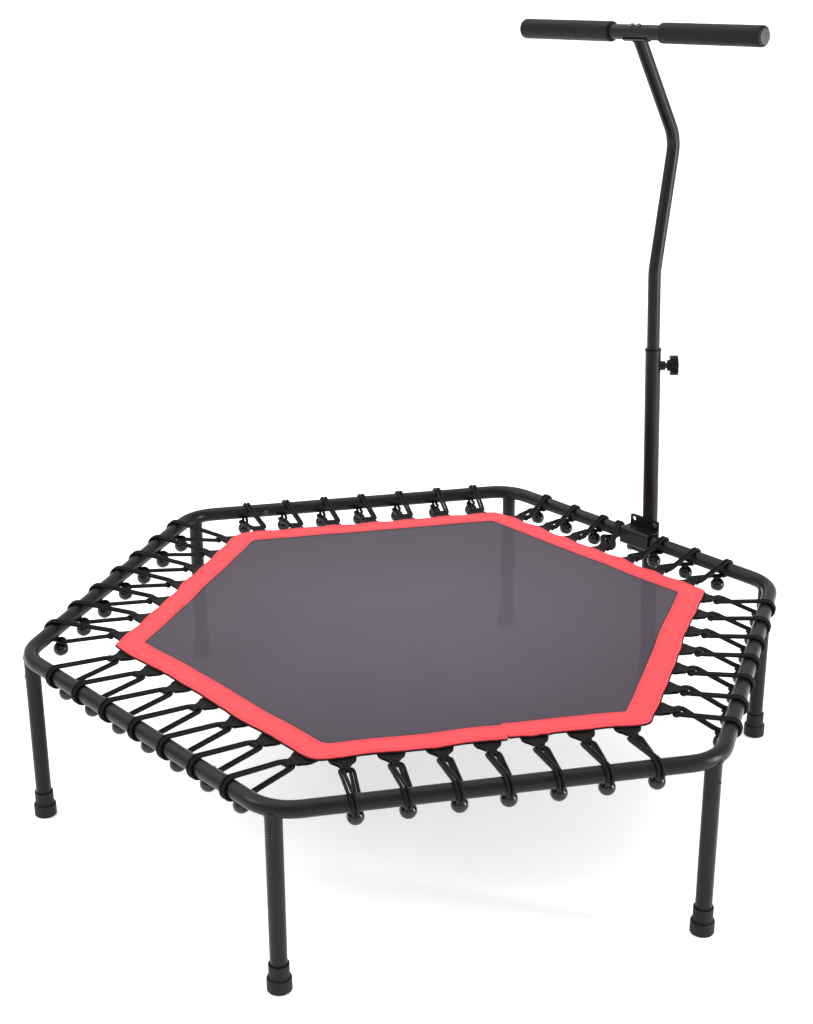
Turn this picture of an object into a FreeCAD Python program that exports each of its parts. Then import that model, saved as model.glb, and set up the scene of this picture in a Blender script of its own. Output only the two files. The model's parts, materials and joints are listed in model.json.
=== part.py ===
import FreeCAD, Part
import math
import os

from FreeCAD import Placement, Rotation, Vector

# Hexagonal mini trampoline with a T-shaped hand bar. All sizes are in millimetres.
# The origin lies on the floor under the centre of the mat, +Z is up, and the side that
# carries the hand bar faces +Y, so a person holding the bar looks along +Y.

# Frame: a hexagonal ring of round tube, made of three equal pieces
frame_corner_radius = 635.0       # centre to the crossing of two straight tubes' centre lines
frame_height = 290.0              # floor to the ring's centre line
tube_diameter = 25.0
tube_wall = 1.5
bend_radius = 75.0                # of the centre line at each corner
joint_to_corner = 200.0           # from a seam to the corner crossing that follows it
seam_gap = 0.6
spigot_length = 75.0              # swaged end that slides into the next piece
spigot_clearance = 0.2
joint_screw_setback = 58.0        # from the seam to the screw that pins the spigot
joint_screw_diameter = 5.0
joint_screw_head = 10.0
joint_screw_head_height = 2.6

# Legs
socket_drop = 55.0                # ring centre line down to the seam between socket and leg
leg_diameter = 25.0
leg_wall = 1.5
leg_spigot_length = 32.0
leg_seam_gap = 0.4
leg_pin_drop = 36.0               # ring centre line down to the hollow pin through the socket
leg_pin_diameter = 6.0
leg_pin_bore = 4.0
leg_pin_overhang = 0.8

# Rubber feet
foot_collar_diameter = 30.0
foot_collar_height = 22.0
foot_base_diameter = 36.0
foot_base_height = 21.0
foot_floor = 6.0                  # rubber under the end of the tube
foot_fit_clearance = 0.05
foot_edge_round = 2.0

# Jumping mat
mat_corner_radius = 500.0         # centre to the mat's sharp corner
mat_rise = 3.0                    # woven fabric's underside above the ring's centre line
mat_thickness = 1.5
mat_corner_round = 24.0
border_width = 42.0
border_thickness = 1.2
backing_thickness = 1.2
backing_overhang = 1.5

# Webbing tabs under the mat's edge, one for each bungee
bungees_per_side = 7
mat_pitch = 69.0
tab_root_width = 40.0
tab_end_width = 14.0
tab_thickness = 3.0
tab_reach = 27.0                  # mat edge to the centre of the eye
tab_grip = 30.0                   # sewn length under the mat
eye_wall = 1.8
eye_clearance = 0.5

# Ball bungees
frame_pitch = 75.0
cord_diameter = 6.0
clamp_side_room = 1.0             # clamp's edge to the strand that passes it
cord_split = 10.0                 # half the distance between the over and under strands
cord_clearance = 0.2              # between the cord and what it lies on
wrap_curve_share = 0.97           # of the wrap's radius, for the curves between its straight runs
ball_diameter = 25.0
ball_clearance = 0.5              # at the ball's top; the strands lean closer beside it
ball_inboard = 12.5               # ball centre, towards the mat from the tube's centre line
ball_hole_diameter = 6.0
knot_pocket_diameter = 11.0
knot_pocket_depth = 7.0
wrap_corners = 3                  # straight-run corners that the cord's wrap is built from
eye_side_room = 6.0               # tab's end to the centre of a strand
eye_corner_curve = 4.5

# Hand bar post and its clamp on the ring
post_offset = 17.0                # clamp centre, sideways from the middle of the +Y side
post_lean = 2.4                   # degrees, the bar assembly tips towards -X
post_foot_sink = 2.0              # foot cut level with the floor after the post leans
post_diameter = 28.0
post_wall = 1.2
post_top = 640.0                  # length coordinate of the sleeve's top edge
plate_width = 66.0
plate_height = 70.0
plate_thickness = 4.0
plate_hole_diameter = 8.6
plate_hole_inset = 8.0
channel_thickness = 3.0
channel_clearance = 0.3
clamp_bolt_diameter = 8.0
clamp_bolt_head_across = 13.0
clamp_bolt_head_height = 5.3
clamp_nut_height = 6.5
clamp_bolt_overhang = 3.0

# Sleeve lock: liner, threaded boss, screw and star knob
liner_wall = 1.0
liner_length = 45.0
liner_rim_diameter = 30.0
liner_rim_height = 3.5
sleeve_clearance = 0.3            # between the liner and the upper tube
knob_drop = 28.0                  # sleeve top down to the clamp screw's axis
knob_heading = 45.0               # degrees from +X towards +Y
boss_diameter = 17.0
boss_length = 8.0
clamp_screw_diameter = 10.0
clamp_screw_clearance = 0.08
clamp_screw_tip_gap = 0.3
knob_socket_clearance = 0.05      # around the screw's end in the knob
knob_socket_end_gap = 0.3
knob_standoff = 3.0               # boss face to the knob's hub
knob_diameter = 37.0
knob_thickness = 15.0
knob_hub_diameter = 20.0
knob_hub_height = 5.0
knob_lobes = 6
knob_notch_diameter = 9.0
knob_notch_offset = 1.5           # notch centres outside the knob's rim
knob_edge_round = 2.0
knob_grip_depth = 6.0             # of the screw's end in the knob's head

# Upper tube and hand bar
upper_tube_wall = 1.5
upper_tube_insertion = 200.0      # length held in the sleeve at rest
lower_bend_height = 784.0
upper_bend_height = 1010.0
bar_height = 1196.0
upper_bend_reach = 48.0           # away from the jumper at the upper bend
bar_reach = -56.0                 # back towards the jumper at the bar
lower_bend_curve = 90.0
upper_bend_curve = 70.0
bar_diameter = 25.0
bar_wall = 1.5
bar_length = 516.0
saddle_length = 50.0
saddle_thickness = 2.5
saddle_wrap = 150.0               # degrees of the bar that the saddle covers
bar_screw_pitch = 15.0
bar_screw_diameter = 5.0
bar_screw_head = 9.5
bar_screw_head_height = 3.0
grip_length = 205.0
grip_diameter = 34.0
grip_bore_clearance = 0.1
grip_edge_round = 3.0
cap_flange_height = 2.5
cap_plug_length = 14.0
cap_plug_clearance = 0.15

# Values that follow from the ones above
tube_radius = tube_diameter / 2
apothem = frame_corner_radius * math.cos(math.radians(30))
corner_middle_radius = frame_corner_radius - bend_radius * (1 / math.cos(math.radians(30)) - 1)
mat_apothem = mat_corner_radius * math.cos(math.radians(30))
mat_height = frame_height + mat_rise
backing_underside = mat_height - backing_thickness
tab_height = backing_underside - tab_thickness
eye_bore = cord_diameter + 2 * eye_clearance
eye_centre_height = tab_height + tab_thickness / 2
eye_distance = mat_apothem + tab_reach
half_eye = tab_end_width / 2 + eye_side_room
wrap_radius = tube_radius + cord_clearance + cord_diameter / 2
cord_beside = cord_diameter / 2 + cord_clearance
ball_reach = ball_diameter / 2 + cord_diameter / 2 + ball_clearance
ball_distance = wrap_radius + math.sqrt(ball_reach ** 2 - cord_beside ** 2)
ball_drop = math.sqrt(ball_distance ** 2 - ball_inboard ** 2)
channel_reach = tube_radius + channel_clearance + channel_thickness
plate_front = apothem + tube_radius + channel_clearance
post_distance = plate_front + plate_thickness + post_diameter / 2
post_bore = post_diameter - 2 * post_wall
liner_bore = post_bore - 2 * liner_wall
upper_tube_diameter = liner_bore - 2 * sleeve_clearance
knob_height = post_top - knob_drop
saddle_radius = bar_diameter / 2 + saddle_thickness
foot_height = foot_collar_height + foot_base_height

UP = Vector(0, 0, 1)
CORNERS = {
    "right": 0,
    "back_right": 60,
    "back_left": 120,
    "left": 180,
    "front_left": 240,
    "front_right": 300,
}
SIDES = {
    "back": 90,
    "back_left": 150,
    "front_left": 210,
    "front": 270,
    "front_right": 330,
    "back_right": 30,
}


def save(node, shapes):
    """Write one sub-part, given as a shape or a list of separate solids."""
    if isinstance(shapes, list):
        shapes = Part.makeCompound(shapes)
    shapes.exportStep("parts/" + node + ".step")


def polar(radius, angle, height=0.0):
    turn = math.radians(angle)
    return Vector(radius * math.cos(turn), radius * math.sin(turn), height)


def rod(diameter, start, end):
    along = end - start
    return Part.makeCylinder(diameter / 2, along.Length, start, along)


def pipe(diameter, bore, start, end):
    along = (end - start).normalize()
    return rod(diameter, start, end).cut(rod(bore, start - along, end + along))


def ball(diameter, centre):
    return Part.makeSphere(diameter / 2, centre)


def box(low, high):
    size = high - low
    return Part.makeBox(size.x, size.y, size.z, low)


def turned(shape, angle):
    """A copy turned about the vertical axis through the origin."""
    copy = shape.copy()
    copy.rotate(Vector(0, 0, 0), UP, angle)
    return copy


def on_side(shape, side):
    """Move a shape modelled on the +Y side to another side of the hexagon."""
    return turned(shape, SIDES[side] - SIDES["back"])


def leaned(shape):
    """Tip an upright piece of the hand bar about the clamp on the ring."""
    copy = shape.copy()
    copy.rotate(Vector(post_offset, post_distance, frame_height), Vector(0, 1, 0), -post_lean)
    return copy


def rounded(shape, radius, edges):
    return shape.makeFillet(radius, edges)


def edges_at_height(shape, height):
    return [e for e in shape.Edges if all(abs(v.Z - height) < 1e-6 for v in e.Vertexes)]


def bent_path(points, radii):
    """Straight runs through the points, joined at the inner points by tangent arcs."""
    edges = []
    start = points[0]
    for before, corner, after, radius in zip(points, points[1:], points[2:], radii):
        back = (before - corner).normalize()
        ahead = (after - corner).normalize()
        half = back.getAngle(ahead) / 2
        setback = radius / math.tan(half)
        bisector = (back + ahead).normalize()
        centre = corner + bisector * (radius / math.sin(half))
        first = corner + back * setback
        last = corner + ahead * setback
        edges.append(Part.LineSegment(start, first).toShape())
        edges.append(Part.Arc(first, centre - bisector * radius, last).toShape())
        start = last
    edges.append(Part.LineSegment(start, points[-1]).toShape())
    return Part.Wire(edges)


def swept(path, diameter):
    start = path.Edges[0]
    circle = Part.Circle(start.Vertexes[0].Point, start.tangentAt(start.FirstParameter), diameter / 2)
    return path.makePipeShell([Part.Wire(circle.toShape())], True, False)


# ---------------------------------------------------------------- frame ring

def ring_path(first_corner, from_seam, to_seam):
    """Centre line over two corners, between points measured from the seams at its two ends."""
    corners = [polar(frame_corner_radius, first_corner + 60 * i, frame_height) for i in range(-1, 3)]
    first_along = (corners[1] - corners[0]).normalize()
    last_along = (corners[3] - corners[2]).normalize()
    start = corners[1] - first_along * (joint_to_corner - from_seam)
    end = corners[3] - last_along * (joint_to_corner - to_seam)
    return [start, corners[1], corners[2], end]


def joint_screw_place(first_corner):
    """The seam screw's point on the centre line and its direction towards the mat."""
    start, corner = ring_path(first_corner, 0, 0)[:2]
    along = (corner - start).normalize()
    inward = UP.cross(along)
    return start + along * joint_screw_setback, inward


def frame_segment(first_corner):
    radii = [bend_radius, bend_radius]
    start, corner_1, corner_2, end = ring_path(first_corner, seam_gap / 2, -seam_gap / 2)
    outer = swept(bent_path([start, corner_1, corner_2, end], radii), tube_diameter)
    inner_bore = tube_diameter - 2 * tube_wall
    reach = (end - corner_2).normalize()
    inner_end = end - reach * tube_wall
    inner = swept(bent_path([start, corner_1, corner_2, inner_end], radii), inner_bore)
    spigot_diameter = inner_bore - 2 * spigot_clearance
    spigot_bore = spigot_diameter - 2 * tube_wall
    tip = end + reach * spigot_length
    body = outer.cut(inner).fuse(rod(spigot_diameter, end, tip))
    body = body.cut(rod(spigot_bore, inner_end - reach, tip + reach))
    for seam_corner in (first_corner, first_corner + 120):
        place, inward = joint_screw_place(seam_corner)
        hole_start = place + inward * (tube_diameter / 4)
        body = body.cut(rod(joint_screw_diameter, hole_start, place + inward * tube_diameter))
    return body.removeSplitter()


def joint_screw(first_corner):
    place, inward = joint_screw_place(first_corner)
    surface = place + inward * tube_radius
    shank = rod(joint_screw_diameter - 0.1, place + inward * (tube_radius - 8), surface)
    head = rod(joint_screw_head, surface, surface + inward * joint_screw_head_height)
    rims = [e for e in head.Edges if e.CenterOfMass.distanceToPoint(surface) > joint_screw_head_height * 0.9]
    head = rounded(head, joint_screw_head_height * 0.6, rims[:1])
    return shank.fuse(head)


def build_frame():
    for number in range(3):
        save("frame_segment_%d" % (number + 1), frame_segment(60 + 120 * number))
    save("frame_joint_screws", [joint_screw(60 + 120 * number) for number in range(3)])


# ---------------------------------------------------------------- legs and feet

def leg_socket():
    """Stub tube at angle 0, coped to the corner bend that it is welded under."""
    top = polar(corner_middle_radius, 0, frame_height)
    bottom = polar(corner_middle_radius, 0, frame_height - socket_drop)
    stub = pipe(leg_diameter, leg_diameter - 2 * leg_wall, bottom, top)
    bend_centre = polar(corner_middle_radius - bend_radius, 0, frame_height)
    bend = Part.makeTorus(bend_radius, tube_radius, bend_centre, UP)
    return stub.cut(bend).cut(leg_pin_hole(leg_pin_diameter))


def leg_pin_hole(diameter):
    centre = polar(corner_middle_radius, 0, frame_height - leg_pin_drop)
    return rod(diameter, centre - Vector(leg_diameter, 0, 0), centre + Vector(leg_diameter, 0, 0))


def leg():
    seam = frame_height - socket_drop - leg_seam_gap
    bore = leg_diameter - 2 * leg_wall
    spigot_diameter = bore - 2 * spigot_clearance
    base = polar(corner_middle_radius, 0, foot_floor)
    shoulder = polar(corner_middle_radius, 0, seam)
    tip = polar(corner_middle_radius, 0, seam + leg_spigot_length)
    tube = rod(leg_diameter, base, shoulder).fuse(rod(spigot_diameter, shoulder, tip))
    tube = tube.cut(rod(bore, base - UP, shoulder - UP * leg_wall))
    tube = tube.cut(rod(spigot_diameter - 2 * leg_wall, base, tip + UP))
    return tube.cut(leg_pin_hole(leg_pin_diameter))


def leg_pin():
    centre = polar(corner_middle_radius, 0, frame_height - leg_pin_drop)
    reach = Vector(leg_diameter / 2 + leg_pin_overhang, 0, 0)
    return pipe(leg_pin_diameter - 0.02, leg_pin_bore, centre - reach, centre + reach)


def rubber_foot(base, along, tube_d):
    """Two-step cup foot, from the floor point up a tube that runs in the direction along."""
    step = base + along * foot_base_height
    grow = tube_d - leg_diameter
    cup = rod(foot_base_diameter + grow, base, step)
    cup = rounded(cup, foot_edge_round, [e for e in cup.Edges if len(e.Vertexes) == 1])
    collar = rod(foot_collar_diameter + grow, base + along, base + along * foot_height)
    pocket = rod(tube_d + 2 * foot_fit_clearance, base + along * foot_floor, base + along * (foot_height + 1))
    return cup.fuse(collar).cut(pocket)


def build_legs():
    socket = leg_socket()
    tube = leg()
    pin = leg_pin()
    foot = rubber_foot(polar(corner_middle_radius, 0), UP, leg_diameter)
    save("leg_sockets", [turned(socket, angle) for angle in CORNERS.values()])
    save("leg_pins", [turned(pin, angle) for angle in CORNERS.values()])
    for name, angle in CORNERS.items():
        save("leg_" + name, turned(tube, angle))
        save("foot_" + name, turned(foot, angle))


# ---------------------------------------------------------------- jumping mat

def hexagon(corner_radius, low, thickness, corner_round):
    points = [polar(corner_radius, 60 * i, low) for i in range(7)]
    slab = Part.Face(Part.makePolygon(points)).extrude(Vector(0, 0, thickness))
    upright = [e for e in slab.Edges if abs(e.Vertexes[0].Z - e.Vertexes[-1].Z) > thickness / 2]
    return rounded(slab, corner_round, upright)


def hexagon_ring(overhang, low, thickness):
    to_corner = 1 / math.cos(math.radians(30))
    outer = hexagon(mat_corner_radius + overhang * to_corner, low, thickness, mat_corner_round + overhang)
    inner_radius = mat_corner_radius - border_width * to_corner
    points = [polar(inner_radius, 60 * i, low - 1) for i in range(7)]
    return outer.cut(Part.Face(Part.makePolygon(points)).extrude(Vector(0, 0, thickness + 2)))


def station_offsets(pitch):
    middle = (bungees_per_side - 1) / 2
    return [(i - middle) * pitch for i in range(bungees_per_side)]


def tab(offset):
    """Webbing tab on the +Y side with an eye across its outer end."""
    low = tab_height
    outline = [
        Vector(offset - tab_root_width / 2, mat_apothem - tab_grip, low),
        Vector(offset - tab_root_width / 2, mat_apothem, low),
        Vector(offset - tab_end_width / 2, eye_distance, low),
        Vector(offset + tab_end_width / 2, eye_distance, low),
        Vector(offset + tab_root_width / 2, mat_apothem, low),
        Vector(offset + tab_root_width / 2, mat_apothem - tab_grip, low),
    ]
    flat = Part.Face(Part.makePolygon(outline + outline[:1])).extrude(Vector(0, 0, tab_thickness))
    left = Vector(offset - tab_end_width / 2, eye_distance, eye_centre_height)
    right = Vector(offset + tab_end_width / 2, eye_distance, eye_centre_height)
    eye = rod(eye_bore + 2 * eye_wall, left, right)
    beyond = Vector(eye_side_room, 0, 0)
    bore = rod(eye_bore, left - beyond, right + beyond)
    under_mat = box(Vector(offset - tab_root_width, 0, backing_underside),
                    Vector(offset + tab_root_width, mat_apothem + backing_overhang + 1, mat_height + 20))
    return flat.fuse(eye).cut(bore).cut(under_mat)


def build_mat():
    save("mat", hexagon(mat_corner_radius, mat_height, mat_thickness, mat_corner_round))
    save("mat_border", hexagon_ring(0, mat_height + mat_thickness, border_thickness))
    save("mat_backing", hexagon_ring(backing_overhang, backing_underside, backing_thickness))
    tabs = [tab(offset) for offset in station_offsets(mat_pitch)]
    for side in SIDES:
        save("mat_tabs_" + side, [on_side(piece, side) for piece in tabs])


# ---------------------------------------------------------------- ball bungees

def around_tube(along, radius, angle):
    """A point at a distance from the +Y tube's centre line; angle 0 is outward, 90 is up."""
    turn = math.radians(angle)
    return Vector(along, apothem + radius * math.cos(turn), frame_height + radius * math.sin(turn))


def ball_centre(along):
    return Vector(along, apothem - ball_inboard, frame_height - ball_drop)


def wrap_angles():
    """Where the over strand lands on the tube, where the ball lies, and the turn per corner."""
    rise = math.atan2(eye_centre_height - frame_height, eye_distance - apothem)
    span = math.hypot(eye_centre_height - frame_height, eye_distance - apothem)
    top_angle = math.degrees(rise) % 360 - math.degrees(math.acos(wrap_radius / span))
    ball_angle = math.degrees(math.atan2(-ball_drop, -ball_inboard))
    return top_angle, ball_angle, (top_angle - ball_angle) / wrap_corners


def bungee_cord(frame_offset, mat_offset):
    """One cord: from the ball round the tube to the tab's eye and back under the tube."""
    top_angle, ball_angle, turn = wrap_angles()
    over_eye = Vector(mat_offset + half_eye, eye_distance, eye_centre_height)
    under_eye = Vector(mat_offset - half_eye, eye_distance, eye_centre_height)
    corner_distance = wrap_radius / math.cos(math.radians(turn / 2))
    over = frame_offset + cord_split
    beside = frame_offset + cord_beside
    wrap = []
    for i in range(wrap_corners):
        along = over + (beside - over) * i / wrap_corners
        wrap.append(around_tube(along, corner_distance, top_angle - turn * (i + 0.5)))
    past_ball = around_tube(beside, wrap_radius, ball_angle)
    last_run = (past_ball - wrap[-1]).normalize() * cord_diameter
    start = around_tube(2 * frame_offset - beside, wrap_radius, ball_angle)
    points = [start, under_eye, over_eye] + wrap + [past_ball + last_run]
    radii = [eye_corner_curve] * 2 + [wrap_radius * wrap_curve_share] * wrap_corners
    return swept(bent_path(points, radii), cord_diameter)


def bungee_ball(frame_offset):
    """Ball drilled for the cord, with a pocket for the knot on the side away from the tube."""
    centre = ball_centre(frame_offset)
    to_tube = (around_tube(frame_offset, 0, 0) - centre).normalize()
    hole = rod(ball_hole_diameter, centre - to_tube * ball_diameter, centre + to_tube * ball_diameter)
    pocket_floor = centre - to_tube * (ball_diameter / 2 - knot_pocket_depth)
    pocket = rod(knot_pocket_diameter, centre - to_tube * ball_diameter, pocket_floor)
    return ball(ball_diameter, centre).cut(hole).cut(pocket)


def station_beside_clamp(mat_offset):
    """Station on the tube whose over strand just passes the clamp's inner corner."""
    top_angle, _, turn = wrap_angles()
    landing = around_tube(0, wrap_radius / math.cos(math.radians(turn / 2)), top_angle - turn / 2).y
    share = (apothem - channel_reach - eye_distance) / (landing - eye_distance)
    edge = post_offset - plate_width / 2 - clamp_side_room - cord_diameter / 2
    return mat_offset + half_eye + (edge - mat_offset - half_eye) / share - cord_split


def frame_stations(side):
    """Stations along the tube; the clamp of the hand bar pushes its nearest bungee aside."""
    offsets = station_offsets(frame_pitch)
    if side == "back":
        nearest = min(range(len(offsets)), key=lambda i: abs(offsets[i] - post_offset))
        mat_offset = station_offsets(mat_pitch)[nearest]
        offsets[nearest] = min(offsets[nearest], station_beside_clamp(mat_offset))
    return offsets


def build_bungees():
    mat_offsets = station_offsets(mat_pitch)
    cords = {}
    balls = {}
    for side in SIDES:
        for station in zip(frame_stations(side), mat_offsets):
            if station not in cords:
                cords[station] = bungee_cord(*station)
                balls[station] = bungee_ball(station[0])
        stations = list(zip(frame_stations(side), mat_offsets))
        save("bungee_cords_" + side, [on_side(cords[station], side) for station in stations])
        save("bungee_balls_" + side, [on_side(balls[station], side) for station in stations])


# ---------------------------------------------------------------- hand bar clamp

def clamp_holes(height_sign):
    spread = plate_width / 2 - plate_hole_inset
    height = frame_height + height_sign * (plate_height / 2 - plate_hole_inset)
    return [Vector(post_offset + sign * spread, plate_front, height) for sign in (-1, 1)]


def clamp_plate():
    """Flat plate behind the tube; the post is welded to its back."""
    low = Vector(post_offset - plate_width / 2, plate_front, frame_height - plate_height / 2)
    plate = box(low, low + Vector(plate_width, plate_thickness, plate_height))
    upright = [e for e in plate.Edges if abs(e.Vertexes[0].Y - e.Vertexes[-1].Y) > plate_thickness / 2]
    plate = rounded(plate, plate_hole_inset / 2, upright)
    for hole in clamp_holes(1) + clamp_holes(-1):
        through = Vector(0, plate_thickness + 1, 0)
        plate = plate.cut(rod(plate_hole_diameter, hole - through, hole + through))
    return plate


def clamp_channel():
    """Folded strap over the tube from the mat side, with one ear down along the plate."""
    inner = tube_radius + channel_clearance
    outer = channel_reach
    back = plate_front
    ear_top = frame_height - outer
    left = post_offset - plate_width / 2
    right = post_offset + plate_width / 2
    shell = box(Vector(left, apothem - outer, frame_height - outer),
                Vector(right, back, frame_height + outer))
    front_edges = [e for e in shell.Edges
                   if all(abs(v.Y - (apothem - outer)) < 1e-6 for v in e.Vertexes)
                   and abs(e.Vertexes[0].X - e.Vertexes[-1].X) > 1]
    shell = rounded(shell, channel_thickness * 1.5, front_edges)
    hollow = box(Vector(left - 1, apothem - inner, frame_height - inner),
                 Vector(right + 1, back + 1, frame_height + inner))
    ear = box(Vector(left, back - channel_thickness, frame_height - plate_height / 2),
              Vector(right, back, ear_top + 1))
    strap = shell.cut(hollow).fuse(ear)
    for hole in clamp_holes(-1):
        strap = strap.cut(rod(plate_hole_diameter, hole - Vector(0, 10, 0), hole + Vector(0, 1, 0)))
    return strap


def hexagonal_prism(across_flats, start, end):
    along = end - start
    points = [polar(across_flats / math.sqrt(3), 60 * i) for i in range(7)]
    prism = Part.Face(Part.makePolygon(points)).extrude(Vector(0, 0, along.Length))
    prism.Placement = Placement(start, Rotation(UP, along))
    return prism


def clamp_bolt(hole):
    """Hex bolt from behind the plate, through plate and ear, towards the mat."""
    back = hole + Vector(0, plate_thickness, 0)
    ear_face = hole - Vector(0, channel_thickness, 0)
    tip = ear_face - Vector(0, clamp_nut_height + clamp_bolt_overhang, 0)
    head = hexagonal_prism(clamp_bolt_head_across, back, back + Vector(0, clamp_bolt_head_height, 0))
    return rod(clamp_bolt_diameter, tip, back).fuse(head)


def clamp_nut(hole):
    ear_face = hole - Vector(0, channel_thickness, 0)
    nut = hexagonal_prism(clamp_bolt_head_across, ear_face - Vector(0, clamp_nut_height, 0), ear_face)
    return nut.cut(rod(clamp_bolt_diameter, ear_face - Vector(0, 20, 0), ear_face + Vector(0, 1, 0)))


def build_clamp():
    save("clamp_plate", clamp_plate())
    save("clamp_channel", clamp_channel())
    save("clamp_bolts", [clamp_bolt(hole) for hole in clamp_holes(-1)])
    save("clamp_nuts", [clamp_nut(hole) for hole in clamp_holes(-1)])


# ---------------------------------------------------------------- post and sleeve lock

def post_point(height):
    return Vector(post_offset, post_distance, height)


def lock_axis():
    return polar(1, knob_heading)


def lock_point(distance):
    """A point on the clamp screw's axis, at a distance from the post's axis."""
    return post_point(knob_height) + lock_axis() * distance


def lower_post():
    tube = pipe(post_diameter, post_bore, post_point(foot_floor), post_point(post_top))
    return tube.cut(rod(clamp_screw_diameter + 1, lock_point(0), lock_point(post_diameter)))


def post_foot():
    foot = leaned(rubber_foot(post_point(-post_foot_sink), UP, post_diameter))
    reach = Vector(foot_base_diameter, foot_base_diameter, foot_base_height)
    floor = foot.BoundBox.Center - UP * foot.BoundBox.Center.z
    return foot.cut(box(floor - reach, floor + Vector(reach.x, reach.y, 0)))


def post_liner():
    """Plastic liner in the sleeve's mouth, with a thin rim on top."""
    tube = pipe(post_bore, liner_bore, post_point(post_top - liner_length), post_point(post_top))
    rim = pipe(liner_rim_diameter, liner_bore, post_point(post_top), post_point(post_top + liner_rim_height))
    return tube.fuse(rim).cut(rod(clamp_screw_diameter + 1, lock_point(0), lock_point(post_diameter)))


def lock_boss():
    outer_end = post_diameter / 2 + boss_length
    boss = rod(boss_diameter, lock_point(0), lock_point(outer_end))
    boss = boss.cut(rod(post_diameter, post_point(knob_height - 40), post_point(knob_height + 40)))
    bore = clamp_screw_diameter + 2 * clamp_screw_clearance
    return boss.cut(rod(bore, lock_point(0), lock_point(outer_end + 1)))


def clamp_screw():
    tip = upper_tube_diameter / 2 + clamp_screw_tip_gap
    reach = Vector(0, 0, 2 * clamp_screw_diameter)
    clear_of_tube = rod(2 * tip, lock_point(0) - reach, lock_point(0) + reach)
    hub_face = post_diameter / 2 + boss_length + knob_standoff
    grip_end = hub_face + knob_hub_height + knob_grip_depth
    return rod(clamp_screw_diameter, lock_point(tip - 2), lock_point(grip_end)).cut(clear_of_tube)


def knob():
    """Lobed hand knob, modelled upright and then laid along the clamp screw's axis."""
    head = Part.makeCylinder(knob_diameter / 2, knob_thickness, Vector(0, 0, knob_hub_height))
    for i in range(knob_lobes):
        notch = polar(knob_diameter / 2 + knob_notch_offset, 360 * (i + 0.5) / knob_lobes)
        head = head.cut(rod(knob_notch_diameter, notch, notch + UP * (2 * knob_thickness)))
    rims = edges_at_height(head, knob_hub_height) + edges_at_height(head, knob_hub_height + knob_thickness)
    head = rounded(head, knob_edge_round, rims)
    hub = Part.makeCylinder(knob_hub_diameter / 2, knob_hub_height + 1)
    socket_depth = knob_hub_height + knob_grip_depth + knob_socket_end_gap
    socket_radius = clamp_screw_diameter / 2 + knob_socket_clearance
    whole = head.fuse(hub).cut(Part.makeCylinder(socket_radius, socket_depth))
    hub_face = post_diameter / 2 + boss_length + knob_standoff
    whole.Placement = Placement(lock_point(hub_face), Rotation(UP, lock_axis()))
    return whole


def build_post():
    save("lower_post", leaned(lower_post()))
    save("post_foot", post_foot())
    save("post_liner", leaned(post_liner()))
    save("lock_boss", leaned(lock_boss()))
    save("clamp_screw", leaned(clamp_screw()))
    save("knob", leaned(knob()))


# ---------------------------------------------------------------- upper tube and bar

def bar_point(along, away=0.0, up=0.0):
    return Vector(post_offset + along, post_distance + bar_reach + away, bar_height + up)


def top_run():
    """Unit vector of the upper tube's last straight run, which ends at the bar."""
    bend = Vector(post_offset, post_distance + upper_bend_reach, upper_bend_height)
    return (bar_point(0) - bend).normalize()


def upper_tube():
    bend = Vector(post_offset, post_distance + upper_bend_reach, upper_bend_height)
    points = [post_point(post_top - upper_tube_insertion), post_point(lower_bend_height), bend, bar_point(0)]
    path = bent_path(points, [lower_bend_curve, upper_bend_curve])
    tube = swept(path, upper_tube_diameter).cut(swept(path, upper_tube_diameter - 2 * upper_tube_wall))
    return tube.cut(rod(2 * saddle_radius, bar_point(-40), bar_point(40)))


def bar_saddle():
    """Curved plate between the tube's end and the bar, open on the side away from the tube."""
    half = saddle_length / 2
    ring = pipe(2 * saddle_radius, bar_diameter, bar_point(-half), bar_point(half))
    along = top_run()
    open_at = -math.cos(math.radians(saddle_wrap / 2)) * saddle_radius
    cutter = Part.makeBox(200, 200, 200, Vector(-100, -100, 0))
    cutter.Placement = Placement(bar_point(0) + along * open_at, Rotation(UP, along))
    saddle = ring.cut(cutter)
    for hole in bar_screw_places():
        saddle = saddle.cut(rod(bar_screw_diameter, hole - along * 40, hole + along * 40))
    return saddle


def bar_screw_places():
    return [bar_point(sign * bar_screw_pitch / 2) for sign in (-1, 1)]


def bar_screw(place):
    along = top_run()
    surface = place + along * (bar_diameter / 2 - 0.6)
    head = rod(bar_screw_head, surface, surface + along * bar_screw_head_height)
    head = rounded(head, bar_screw_head_height * 0.5, [e for e in head.Edges if len(e.Vertexes) == 1][:1])
    shank = rod(bar_screw_diameter - 0.2, place - along * (saddle_radius - 0.5), surface + along)
    seat = rod(bar_diameter, bar_point(-saddle_length), bar_point(saddle_length))
    return head.cut(seat).fuse(shank)


def handlebar():
    half = bar_length / 2
    bar = pipe(bar_diameter, bar_diameter - 2 * bar_wall, bar_point(-half), bar_point(half))
    along = top_run()
    for place in bar_screw_places():
        bar = bar.cut(rod(bar_screw_diameter, place - along * 20, place + along * 20))
    return bar


def grip(sign):
    outer_end = bar_point(sign * bar_length / 2)
    inner_end = bar_point(sign * (bar_length / 2 - grip_length))
    sleeve = rod(grip_diameter, inner_end, outer_end)
    sleeve = rounded(sleeve, grip_edge_round, [e for e in sleeve.Edges if len(e.Vertexes) == 1])
    bore = bar_diameter + 2 * grip_bore_clearance
    return sleeve.cut(rod(bore, bar_point(-bar_length), bar_point(bar_length)))


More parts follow.
